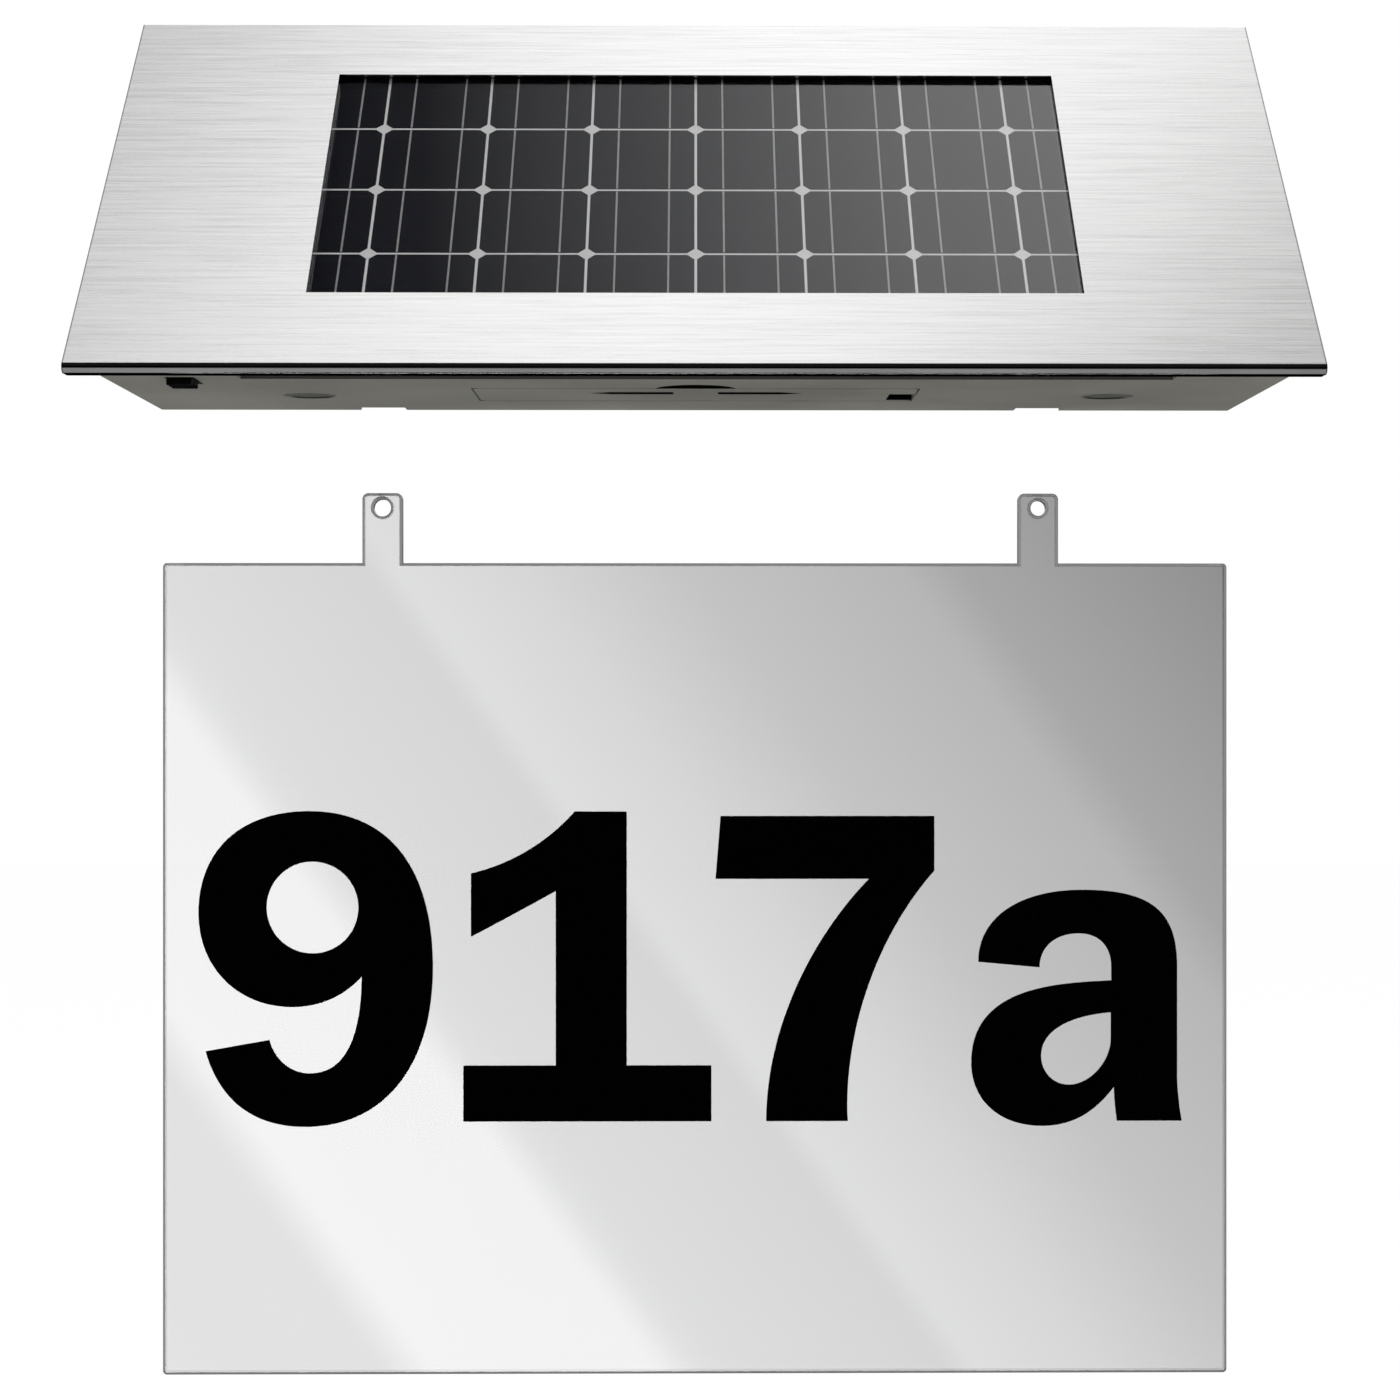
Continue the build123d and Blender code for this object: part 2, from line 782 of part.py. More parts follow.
def make_battery_leads():
    """One lead from each contact's tag to the circuit board, the far one passing round the near one."""
    tag_top = bay_top + contact_tag_proud
    near_start = (step_x + contact_thick / 2, tag_top)
    far_start = (bay_half - contact_thick / 2, tag_top)
    near_top = tag_top + lead_clearance
    near = raised_lead(tag_y, near_start, near_top, lead_end_x)
    far = raised_lead(tag_y, far_start, near_top + lead_spacing, lead_end_x - lead_spacing)
    return group([near, far])


def make_lamp_lead():
    """Two-core lead from the right lamp's board, over the battery bay, to the circuit board."""
    start = (lamp_board_x[0] + lead_edge, board_top)
    return raised_lead(-board_back - lead_edge, start, bay_top + lead_clearance, lead_end_x)


# Number pane and its characters

def make_number_pane():
    plane = Plane(origin=(0, pane_back_y, pane_top), x_dir=(1, 0, 0), z_dir=(0, -1, 0))
    outline = Pos(0, -pane_height / 2) * RectangleRounded(pane_width, pane_height, pane_corner)
    for x in tab_centres:
        tab = Pos(x, tab_height / 2) * Rectangle(tab_width, tab_height)
        tab = fillet(tab.vertices().group_by(Axis.Y)[-1], tab_corner)
        outline += tab
        outline += Pos(x, -pane_thick / 2) * Rectangle(tab_width, pane_thick)
    for x, radius in zip(tab_centres, tab_hole_radii):
        outline -= Pos(x, tab_hole_rise) * Circle(radius)
    pane = extrude(plane * outline, pane_thick)
    return chamfer(pane.faces().filter_by(Axis.Y).edges(), pane_bevel)


def quarter(start, end, upright, fullness=0.56):
    """Quarter of an oval, leaving its start upright or level and arriving the other way."""
    corner = (start[0], end[1]) if upright else (end[0], start[1])
    handles = [
        tuple(point[i] + fullness * (corner[i] - point[i]) for i in (0, 1)) for point in (start, end)
    ]
    return Bezier(start, *handles, end)


def nine_outline():
    left = (0, 41.1)
    top = (21.7, 61.2)
    right = (46.1, 30.4)
    bottom = (21.0, -1.0)
    tail_outer = (1.4, 13.9)
    tail_inner = (13.9, 16.1)
    tail_floor = (21.8, 9.5)
    crotch = (32.1, 28.6)
    bowl_floor = (18.5, 22.6)
    counter_centre = (22.4, 42.2)
    counter_radius = 9.05
    tail_turn = ((8.6, -1.0), (3.4, 6.7))
    tail_rise = ((14.9, 12.3), (18.0, 9.5))
    inner_rise = ((28.8, 9.5), (32.0, 16.5))
    bowl_sweep = ((28.9, 24.9), (24.0, 22.6))
    face = make_face([
        quarter(left, top, True, 0.62),
        quarter(top, right, False, 0.64),
        quarter(right, bottom, True, 0.62),
        Bezier(bottom, *tail_turn, tail_outer),
        Line(tail_outer, tail_inner),
        Bezier(tail_inner, *tail_rise, tail_floor),
        Bezier(tail_floor, *inner_rise, crotch),
        Bezier(crotch, *bowl_sweep, bowl_floor),
        quarter(bowl_floor, left, False, 0.58),
    ])
    return face - Pos(*counter_centre) * Circle(counter_radius)


def one_outline():
    top = 61.1
    foot_top = 11.0
    foot_end = 48.9
    stem_left = 18.2
    stem_right = 32.2
    flag_left = 1.5
    flag_top = (21.9, top)
    flag_upper = (flag_left, 48.9)
    flag_lower = (flag_left, 36.4)
    flag_root = (stem_left, 45.4)
    flag_under = (10.9, 41.4)
    flag_over = (13.6, 54.0)
    return make_face([
        Polyline(flag_top, (stem_right, top), (stem_right, foot_top), (foot_end, foot_top), (foot_end, 0)),
        Polyline((foot_end, 0), (0, 0), (0, foot_top), (stem_left, foot_top), flag_root),
        ThreePointArc(flag_root, flag_under, flag_lower),
        Line(flag_lower, flag_upper),
        ThreePointArc(flag_upper, flag_over, flag_top),
    ])


def seven_outline():
    top = 60.2
    bar_foot = 47.8
    bar_right = 43.2
    shoulder = (bar_right, 49.4)
    armpit = (30.3, bar_foot)
    stem_left = (10.0, 0)
    stem_right = (26.1, 0)
    right_sweep = ((32.0, 36.8), (25.2, 17.8))
    left_sweep = ((10.0, 18.0), (18.8, 36.0))
    return make_face([
        Polyline(armpit, (0, bar_foot), (1.0, top), (bar_right, top), shoulder),
        Bezier(shoulder, *right_sweep, stem_right),
        Line(stem_right, stem_left),
        Bezier(stem_left, *left_sweep, armpit),
    ])


def small_a_outline():
    top = (21.9, 45.6)
    shoulder = (40.7, 30.4)
    heel = (40.7, 8.0)
    foot_right = (41.6, 0)
    foot_left = (28.8, 0)
    notch = (28.2, 6.7)
    bowl_floor = (14.0, -1.0)
    bowl_left = (0, 11.5)
    bowl_root = (27.7, 27.7)
    inner_shoulder = (27.7, 30.4)
    inner_top = (21.2, 37.0)
    end_inner = (13.5, 30.3)
    end_outer = (1.4, 31.4)
    foot_side = (41.0, 4.1)
    notch_side = (28.4, 3.4)
    floor_sweep = ((24.8, 2.2), (20.5, -1.0))
    bowl_sweep = ((0, 26.4), (16.5, 27.2))
    face = make_face([
        quarter(top, shoulder, False, 0.73),
        Line(shoulder, heel),
        ThreePointArc(heel, foot_side, foot_right),
        Line(foot_right, foot_left),
        ThreePointArc(foot_left, notch_side, notch),
        Bezier(notch, *floor_sweep, bowl_floor),
        quarter(bowl_floor, bowl_left, False, 0.6),
        Bezier(bowl_left, *bowl_sweep, bowl_root),
        Line(bowl_root, inner_shoulder),
        quarter(inner_shoulder, inner_top, True, 0.62),
        quarter(inner_top, end_inner, False, 0.6),
        Line(end_inner, end_outer),
        quarter(end_outer, top, True, 0.61),
    ])
    counter_top = (27.6, 21.4)
    counter_side = (27.6, 16.2)
    counter_floor = (19.3, 7.1)
    counter_left = (13.8, 12.9)
    counter_sweep = ((13.8, 18.3), (20.5, 20.9))
    counter = make_face([
        Line(counter_top, counter_side),
        quarter(counter_side, counter_floor, True, 0.5),
        quarter(counter_floor, counter_left, False),
        Bezier(counter_left, *counter_sweep, counter_top),
    ])
    return face - counter


def make_character(outline, start):
    """Foil character on the front of the pane, at its place in the set number."""
    scale_to_fit = (pane_width - number_left - number_right) / set_width
    left = -pane_width / 2 + number_left + start * scale_to_fit
    base = pane_top - pane_height + number_rise
    plane = Plane(origin=(left, pane_front_y, base), x_dir=(1, 0, 0), z_dir=(0, -1, 0))
    return extrude(plane * scale(outline, scale_to_fit), foil_thick, dir=(0, -1, 0))


characters = {
    "digit_nine": nine_outline(),
    "digit_one": one_outline(),
    "digit_seven": seven_outline(),
    "letter_a": small_a_outline(),
}

pieces = {
    "roof_sheet": make_roof_sheet(),
    "roof_gasket": make_roof_gasket(),
    "solar_glass": make_solar_glass(),
    "solar_cells": make_solar_cells(),
    "cell_busbars": make_cell_busbars(),
    "solar_backsheet": make_solar_backsheet(),
    "housing": make_housing(),
    "rear_cover": make_rear_cover(),
    "rear_cover_screws": make_rear_cover_screws(),
    "battery_cover": make_battery_cover(),
    "battery_cell": make_battery_cell(),
    "battery_spring": make_battery_spring(),
    "battery_plate": make_battery_plate(),
    "circuit_board": make_circuit_board(),
    "led_board": make_led_board(),
    "board_screws": make_board_screws(),
    "led_left": make_led(lamp_places[0]),
    "led_right": make_led(lamp_places[1]),
    "led_lens_left": make_led_lens(lamp_places[0]),
    "led_lens_right": make_led_lens(lamp_places[1]),
    "switch_body": make_switch_body(),
    "switch_knob": make_switch_knob(),
    "solar_lead": make_solar_lead(),
    "battery_leads": make_battery_leads(),
    "lamp_lead": make_lamp_lead(),
    "number_pane": make_number_pane(),
}
for (name, outline), start in zip(characters.items(), set_starts):
    pieces[name] = make_character(outline, start)

os.makedirs("parts", exist_ok=True)
for name, shape in pieces.items():
    export_step(Pos(0, 0, -keyhole_height) * shape, f"parts/{name}.step")
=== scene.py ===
import math

import bpy
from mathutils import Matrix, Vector


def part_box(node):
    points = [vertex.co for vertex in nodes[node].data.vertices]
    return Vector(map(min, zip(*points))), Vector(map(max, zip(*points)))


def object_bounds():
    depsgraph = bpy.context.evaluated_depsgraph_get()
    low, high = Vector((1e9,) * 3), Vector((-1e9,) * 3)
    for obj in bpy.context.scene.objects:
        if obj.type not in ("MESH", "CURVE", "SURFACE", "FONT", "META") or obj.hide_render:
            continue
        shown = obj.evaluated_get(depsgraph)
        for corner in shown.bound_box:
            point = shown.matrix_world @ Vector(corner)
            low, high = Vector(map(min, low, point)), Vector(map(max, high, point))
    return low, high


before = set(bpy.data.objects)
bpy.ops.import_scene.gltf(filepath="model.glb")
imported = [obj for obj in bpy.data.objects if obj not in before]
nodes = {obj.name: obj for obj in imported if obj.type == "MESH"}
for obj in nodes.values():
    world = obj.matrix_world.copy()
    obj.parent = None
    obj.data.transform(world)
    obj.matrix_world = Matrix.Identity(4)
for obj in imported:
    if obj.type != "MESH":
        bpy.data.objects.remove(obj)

# Looks of the solar house number plaque. Metres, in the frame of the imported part: +X to the right seen from
# the front, +Y to the wall, +Z up. Every solid keeps its shape and gets a finish here.

cad_box = [list(corner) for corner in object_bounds()]

# Camera, level and turned a little from square to the wall
camera_distance = 0.5845
camera_height = -0.106
camera_lens = 75.6
camera_sensor = 36.0
camera_pitch = math.radians(90)
camera_turn = math.radians(-0.58)
camera_shift = (-0.0182, 0.0014)

# Floor: its drop below the object, its size and tone, the share of its shading that shows, and the light
# that is added to that
floor_drop = 0.12
floor_size = 8.0
floor_tone = 0.80
floor_grain = 0.01
floor_share = 0.1
floor_lift = 0.91

# Light levels: on matt surfaces, from the walls and the floor that glossy ones see, and of what is shown
world_level = 1.0
room_level = 0.7
low_level = 0.27
shown_level = 1.0

# Room that glossy surfaces see, by the direction that they mirror: where each part of it starts, and where
# it is full
back_wall = (0.45, 0.60)
back_foot = (0.05, 0.15)
side_walls = (0.40, 0.55)
side_foot = (-0.40, -0.25)
front_wall = (-0.20, -0.35)
front_foot = (0.1, 0.3)
low_floor = (-0.47, -0.64)
low_tilt = 0.17

# Lamps overhead, one for the panel's glass and one for all the rest. Each is graded along a direction, by
# stops of place and brightness that are laid over a span
lamp_height = 1.1
ceiling_size = (1.5, 1.6)
ceiling_depth = 0.55
ceiling_direction = (1, -0.9, 0)
ceiling_span = (-0.55, 0.45)
ceiling_stops = [
    (0.0, 0.33),
    (0.10, 0.70),
    (0.18, 1.20),
    (0.30, 1.38),
    (0.38, 1.64),
    (0.50, 1.36),
    (0.65, 1.42),
    (0.72, 1.02),
    (0.84, 0.38),
    (1.0, 0.3),
]
panel_lamp_size = (1.3, 0.9)
panel_lamp_depth = 0.30
panel_direction = (1, 0, 0)
panel_span = (-0.22, 0.22)
panel_stops = [
    (0.0, 0.02),
    (0.15, 0.09),
    (0.43, 0.72),
    (0.78, 1.85),
    (1.0, 2.2),
]

# Lamp in front of the number pane, graded on a slant and faded at its sides
pane_lamp_size = (0.56, 0.50)
pane_lamp_distance = 0.30
pane_lamp_height = -0.178
pane_lamp_level = 9.3
pane_lamp_fade = 0.1
pane_tilt = math.radians(36)
pane_direction = (math.cos(pane_tilt), 0, math.sin(pane_tilt))
pane_span = (-0.308, 0.090)
pane_stops = [
    (0.0, 0.69),
    (0.04, 0.67),
    (0.135, 0.67),
    (0.165, 0.87),
    (0.30, 0.845),
    (0.325, 0.66),
    (0.345, 0.62),
    (0.475, 0.545),
    (0.495, 0.635),
    (0.57, 0.555),
    (0.67, 0.38),
    (0.80, 0.27),
    (0.835, 0.16),
    (1.0, 0.0),
]

# Roof sheet: its slope, the turn that lays it flat, its edges as they then lie, the painted shade on its rim,
# and the lean, the painted dark reflection and the roughness of its folded lip
slope = math.radians(45)
roof_turn = (-slope, 0, 0)
brush_across = (0.0, math.cos(slope), math.sin(slope))
roof_normal = (0.0, -math.sin(slope), math.cos(slope))
roof_side = cad_box[1][0]
roof_back = (cad_box[1][2] + cad_box[1][1]) * math.sin(slope)
rim_width = 0.00015
rim_painted_shade = 0.4
lip_lean = math.radians(12)
lip_normal = (0.0, -math.cos(lip_lean), math.sin(lip_lean))
lip_painted_reflection = 0.012
lip_roughness = 0.09

# Brushing: how fine the long and short lines are along, across and into the sheet, their shares, and their
# relief
long_brush = (30, 1500, 60)
short_brush = (90, 3000, 60)
long_share = 0.6
short_share = 0.4
brush_relief = 0.25

# Panel: spacing of the fingers on a wafer
finger_pitch = 0.0012

# Underside: the heights that the steps in the housing and the slots in the lid's plate reach, and the painted
# shade on the steps
housing_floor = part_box("housing")[0][2]
step_top = housing_floor + 0.0013
lid_top = housing_floor + 0.0015
step_painted_shade = 0.25

# Depth over which shade is painted into gaps: at the roof and the covers, on the lid's ribs, and in its slots
roof_gap = 0.002
cover_gap = 0.003
rib_gap = 0.008
slot_gap = 0.03

# Shading of edges and painted shade in gaps: samples, and how open a place is where the painted shade is full
# and where it ends
edge_samples = 6
gap_samples = 12
gap_dark = 0.62
gap_clear = 0.92

# Range that a noise seldom leaves
noise_low = 0.3
noise_high = 0.7

# Bounces are counted in whole numbers, so a count below this is none
under_one = 0.5


def linear(level):
    """Linear light of an 8-bit screen level."""
    share = level / 255
    return share / 12.92 if share <= 0.04045 else ((share + 0.055) / 1.055) ** 2.4


def screen(red, green, blue):
    """Linear colour of an 8-bit screen colour."""
    return (linear(red), linear(green), linear(blue), 1.0)


def grey(level):
    return (level, level, level, 1.0)


def toned(colour, share):
    """A colour made darker or lighter."""
    return tuple(share * part for part in colour[:3]) + (1.0,)


class Nodes:
    """Short calls for building a node tree."""

    def __init__(self, owner):
        owner.use_nodes = True
        self.tree = owner.node_tree

    def find(self, name):
        return self.tree.nodes[name]

    def node(self, kind, inputs=None, **settings):
        made = self.tree.nodes.new("ShaderNode" + kind)
        for key, value in settings.items():
            setattr(made, key, value)
        for socket, value in (inputs or {}).items():
            self.feed(made.inputs[socket], value)
        return made

    def feed(self, socket, value):
        """Links a node's first output, or an output itself, to a socket, or sets the socket's own value."""
        if isinstance(value, bpy.types.Node):
            self.tree.links.new(value.outputs[0], socket)
        elif isinstance(value, bpy.types.NodeSocket):
            self.tree.links.new(value, socket)
        else:
            socket.default_value = value

    def geometry(self, output):
        return self.node("NewGeometry").outputs[output]

    def parts(self, vector):
        """The X, Y and Z of a vector."""
        return self.node("SeparateXYZ", {0: vector}).outputs

    def dot(self, first, second):
        return self.node("VectorMath", {0: first, 1: second}, operation="DOT_PRODUCT").outputs["Value"]

    def math(self, operation, first, second=0.0):
        return self.node("Math", {0: first, 1: second}, operation=operation).outputs[0]

    def place(self, turn=(0, 0, 0), stretch=(1, 1, 1)):
        """Coordinates of the solid, turned and then stretched."""
        points = self.node("TexCoord").outputs["Object"]
        turned = self.node("Mapping", {"Vector": points, "Rotation": turn})
        return self.node("Mapping", {"Vector": turned, "Scale": stretch})

    def noise(self, place, scale, detail=2.0, rough=0.5):
        inputs = {"Vector": place, "Scale": scale, "Detail": detail, "Roughness": rough}
        return self.node("TexNoise", inputs).outputs["Fac"]

    def ramp(self, value, stops):
        """Colour ramp through stops of place and colour, or place and grey level."""
        made = self.node("ValToRGB", {"Fac": value})
        elements = made.color_ramp.elements
        while len(elements) < len(stops):
            elements.new(1.0)
        for element, (at, colour) in zip(elements, stops):
            element.position = at
            element.color = colour if hasattr(colour, "__len__") else grey(colour)
        return made.outputs["Color"]

    def mottle(self, noise, dark, light):
        """Colour, or grey level, that goes from dark to light with a noise."""
        return self.ramp(noise, [(noise_low, dark), (noise_high, light)])

    def spread(self, value, low, high):
        """Value from 0 to 1 laid out between two levels."""
        inputs = {"Value": value, "To Min": low, "To Max": high}
        return self.node("MapRange", inputs).outputs["Result"]

    def rise(self, value, start, end):
        """0 before the start, 1 after the end, even in between."""
        inputs = {"Value": value, "From Min": start, "From Max": end}
        return self.node("MapRange", inputs).outputs["Result"]

    def blend(self, factor, first, second, kind="MIX"):
        """Mix of two colours, by the sockets that the node has for colours."""
        made = self.node("Mix", data_type="RGBA", blend_type=kind)
        for socket, value in ((0, factor), (6, first), (7, second)):
            self.feed(made.inputs[socket], value)
        return made.outputs[2]

    def times(self, first, second):
        """Product of two colours."""
        return self.blend(1.0, first, second, "MULTIPLY")

    def bump(self, height, strength, distance, normal=None):
        made = self.node("Bump", {"Height": height, "Strength": strength, "Distance": distance})
        if normal is not None:
            self.feed(made.inputs["Normal"], normal)
        return made.outputs[0]

    def soft_edges(self, radius):
        """Normal that rounds the edges off a little."""
        return self.node("Bevel", {"Radius": radius}, samples=edge_samples).outputs[0]

    def gap_shade(self, depth):
        """Painted shade: 1 on open faces, falling to 0 inside slots, holes and gaps."""
        cover = self.node("AmbientOcclusion", {"Distance": depth}, samples=gap_samples).outputs["AO"]
        return self.ramp(cover, [(gap_dark, 0.0), (gap_clear, 1.0)])

    def shown_rays(self):
        """1 for rays from the camera and for those that have come straight through a clear piece."""
        path = self.node("LightPath").outputs
        bounces = self.math("ADD", path["Diffuse Depth"], path["Glossy Depth"])
        straight = self.math("LESS_THAN", bounces, under_one)
        through = self.math("MULTIPLY", path["Is Transmission Ray"], straight)
        return self.math("MAXIMUM", path["Is Camera Ray"], through)

    def gloss_rays(self):
        """1 for rays that only glossy surfaces have reflected, also those under glass."""
        path = self.node("LightPath").outputs
        mirrored = self.math("GREATER_THAN", path["Glossy Depth"], under_one)
        clear = self.math("LESS_THAN", path["Diffuse Depth"], under_one)
        return self.math("MULTIPLY", mirrored, clear)


class Finish(Nodes):
    """A node material that is built up around one Principled shader."""

    def __init__(self, name, **values):
        self.material = bpy.data.materials.new(name)
        super().__init__(self.material)
        self.shader = self.find("Principled BSDF")
        for socket, value in values.items():
            self.set(socket.replace("_", " "), value)

    def set(self, socket, value):
        self.feed(self.shader.inputs[socket], value)


def dress(finish, *names):
    """Gives the finish to the named solids."""
    for name in names:
        slots = nodes[name].data.materials
        if not slots:
            slots.append(finish.material)
        for number in range(len(slots)):
            slots[number] = finish.material


# Roof

def brush_lines(finish):
    """Long and short brush lines along X, as a level."""
    long_lines = finish.noise(finish.place(roof_turn, long_brush), scale=1.0, rough=0.6)
    short_lines = finish.noise(finish.place(roof_turn, short_brush), scale=1.0)
    long_part = finish.math("MULTIPLY", long_lines, long_share)
    short_part = finish.math("MULTIPLY", short_lines, short_share)
    return finish.math("ADD", long_part, short_part)


def rim_shade(finish, flat):
    """1 on the sheet, falling to a painted shade along its side and rear edges."""
    along = finish.parts(flat)
    from_middle = finish.math("ABSOLUTE", along["X"])
    sides = finish.rise(from_middle, start=roof_side - 2 * rim_width, end=roof_side - rim_width)
    back = finish.rise(along["Y"], start=roof_back - 2 * rim_width, end=roof_back - rim_width)
    # Painted shade: the rim is darkened along the sheet's side and rear edges
    return finish.ramp(finish.math("MAXIMUM", sides, back), [(0.0, 1.0), (1.0, rim_painted_shade)])


def brushed_steel():
    """Sheet brushed along X, with painted shade at its rim and in gaps, and a painted dark reflection on the
    front of its smooth lip.
    """
    finish = Finish("brushed_steel", Metallic=1.0, Anisotropic=0.75)
    flat = finish.place(roof_turn)
    lines = brush_lines(finish)
    steel = finish.ramp(lines, [(0.30, 0.66), (0.50, 0.80), (0.70, 0.90)])
    cloud = finish.noise(flat, scale=14.0)
    tint = finish.mottle(cloud, (0.98, 0.98, 0.985, 1), (1.0, 1.0, 0.995, 1))
    # Painted shade along the rim and in the gaps of the sheet
    shade = finish.times(rim_shade(finish, flat), finish.gap_shade(roof_gap))
    shaded = finish.times(finish.times(steel, tint), shade)
    normal = finish.geometry("Normal")
    # Painted dark reflection: the front of the folded lip, found by its normal, is made nearly black
    lip = finish.ramp(finish.dot(normal, lip_normal), [(0.90, 1.0), (0.93, lip_painted_reflection)])
    finish.set("Base Color", finish.times(shaded, lip))
    flatness = finish.rise(finish.dot(normal, roof_normal), start=0.95, end=0.995)
    rough = finish.math("MULTIPLY", finish.spread(lines, low=0.22, high=0.34), flatness)
    smooth = finish.math("MULTIPLY", finish.math("SUBTRACT", 1.0, flatness), lip_roughness)
    finish.set("Roughness", finish.math("ADD", rough, smooth))
    finish.set("Tangent", finish.node("CombineXYZ", dict(zip("XYZ", brush_across))))
    relief = finish.math("MULTIPLY", flatness, brush_relief)
    edges = finish.soft_edges(radius=0.0002)
    finish.set("Normal", finish.bump(lines, relief, distance=0.00004, normal=edges))
    return finish


# Solar panel

film_white = screen(248, 248, 248)


def panel_glass():
    finish = Finish("panel_glass", Transmission_Weight=1.0, IOR=1.5, Roughness=0.0)
    dust = finish.noise(finish.place(), scale=900.0, detail=3.0, rough=0.6)
    finish.set("Base Color", finish.mottle(dust, (0.985, 0.988, 0.99, 1), (0.998, 0.999, 1.0, 1)))
    return finish


def silicon():
    """Dark wafer with hair-fine silver fingers, and white edges, which the backing film laps round."""
    finish = Finish("silicon", Specular_IOR_Level=0.1, Roughness=0.35)
    place = finish.place(roof_turn)
    turns = finish.math("MULTIPLY", finish.parts(place)["Y"], math.tau / finger_pitch)
    fingers = finish.ramp(finish.math("SINE", turns), [(0.90, 0.0), (0.99, 1.0)])
    cloud = finish.noise(place, scale=60.0, detail=3.0)
    wafer = finish.mottle(cloud, screen(27, 28, 36), screen(31, 32, 41))
    face = finish.blend(fingers, wafer, screen(38, 39, 47))
    edge = finish.rise(finish.dot(finish.geometry("True Normal"), roof_normal), start=0.9, end=0.5)
    finish.set("Base Color", finish.blend(edge, face, film_white))
    return finish


def tinned_ribbon():
    finish = Finish("tinned_ribbon", Metallic=0.1)
    solder = finish.noise(finish.place(), scale=800.0, detail=3.0)
    finish.set("Base Color", finish.mottle(solder, screen(168, 168, 168), screen(190, 190, 188)))
    finish.set("Roughness", finish.spread(solder, low=0.45, high=0.7))
    return finish


def backing_film():
    finish = Finish("backing_film", Roughness=0.6)
    weave = finish.noise(finish.place(), scale=300.0, detail=4.0)
    finish.set("Base Color", finish.mottle(weave, screen(246, 246, 246), screen(250, 250, 249)))
    return finish


# Housing, covers and switch

housing_colour = screen(134, 133, 126)
cover_colour = screen(121, 120, 114)
knob_colour = screen(16, 16, 16)


def recess_shade(finish):
    """Dims the low steps in the housing's underside that face forward, in the shade of the roof's lip."""
    facing = finish.parts(finish.geometry("True Normal"))["Y"]
    height = finish.parts(finish.place())["Z"]
    forward = finish.rise(facing, start=-0.5, end=-0.8)
    low = finish.math("LESS_THAN", height, step_top)
    return finish.ramp(finish.math("MULTIPLY", forward, low), [(0.0, 1.0), (1.0, step_painted_shade)])


def lid_gap_shade(finish):
    """Deep painted shade in the slots and the notch of the lid's plate, and a shallow painted shade on its
    ribs and latch.
    """
    upright = finish.parts(finish.node("TexCoord").outputs["Normal"])["Z"]
    walls = finish.rise(finish.math("ABSOLUTE", upright), start=0.6, end=0.4)
    height = finish.parts(finish.place())["Z"]
    slots = finish.math("MULTIPLY", walls, finish.math("LESS_THAN", height, lid_top))
    return finish.blend(slots, finish.gap_shade(rib_gap), finish.gap_shade(slot_gap))


# Painted shade in the narrow gaps of the rear cover and the switch
def narrow_gap_shade(finish):
    return finish.gap_shade(cover_gap)


def moulded_plastic(name, colour, shade):
    """Plastic with the fine spark texture of a mould and faint flow clouds, darkened by a painted shade."""
    finish = Finish(name, Specular_IOR_Level=0.1)
    points = finish.place()
    grain = finish.noise(points, scale=2600.0)
    cloud = finish.noise(points, scale=22.0, detail=3.0)
    base = finish.ramp(cloud, [(0.35, toned(colour, 0.90)), (0.65, toned(colour, 1.12))])
    sparks = finish.ramp(grain, [(0.4, 0.0), (0.6, 0.5)])
    speckled = finish.blend(0.12, base, sparks, "OVERLAY")
    finish.set("Base Color", finish.times(speckled, shade(finish)))
    finish.set("Roughness", finish.spread(grain, low=0.48, high=0.66))
    edges = finish.soft_edges(radius=0.00025)
    finish.set("Normal", finish.bump(grain, strength=0.25, distance=0.00005, normal=edges))
    return finish


# Number pane

def acrylic():
    """Grey-tinted clear sheet, matt where it shows its sawn edges, and darker there by a painted shade."""
    finish = Finish("acrylic", Transmission_Weight=1.0, IOR=1.49, Coat_Weight=1.0, Coat_Roughness=0.0)
    face = finish.math("ABSOLUTE", finish.parts(finish.geometry("True Normal"))["Y"])
    # Painted shade: the tint is darker on the sawn edges than on the faces
    tint = finish.ramp(face, [(0.90, screen(120, 121, 122)), (0.97, screen(155, 155, 156))])
    haze = finish.noise(finish.place(), scale=18.0)
    finish.set("Base Color", finish.times(tint, finish.mottle(haze, 0.985, 1.0)))
    finish.set("Roughness", finish.ramp(face, [(0.90, 0.5), (0.97, 0.0)]))
    return finish


def black_foil():
    finish = Finish("black_foil", Specular_IOR_Level=0.01)
    grain = finish.noise(finish.place(), scale=1500.0)
    finish.set("Base Color", finish.mottle(grain, 0.0, 0.0006))
    finish.set("Roughness", finish.spread(grain, low=0.75, high=0.9))
    return finish


# Lenses, boards, battery, screws and leads

def plated_steel(name, dark, light):
    finish = Finish(name, Metallic=0.6)
    marks = finish.noise(finish.place(), scale=700.0, detail=4.0, rough=0.65)
    finish.set("Base Color", finish.mottle(marks, dark, light))
    finish.set("Roughness", finish.spread(marks, low=0.22, high=0.42))
    finish.set("Normal", finish.soft_edges(radius=0.00015))
    return finish


def smoked_lens():
    finish = Finish("smoked_lens", Specular_IOR_Level=0.4)
    prisms = finish.noise(finish.place(), scale=900.0, detail=1.0)
    finish.set("Base Color", finish.mottle(prisms, screen(92, 92, 90), screen(116, 116, 113)))
    finish.set("Roughness", finish.spread(prisms, low=0.3, high=0.5))
    finish.set("Normal", finish.bump(prisms, strength=0.3, distance=0.0001))
    return finish


def led_resin():
    finish = Finish("led_resin", Roughness=0.18)
    phosphor = finish.noise(finish.place(), scale=1200.0)
    finish.set("Base Color", finish.mottle(phosphor, screen(222, 206, 130), screen(240, 228, 168)))
    return finish


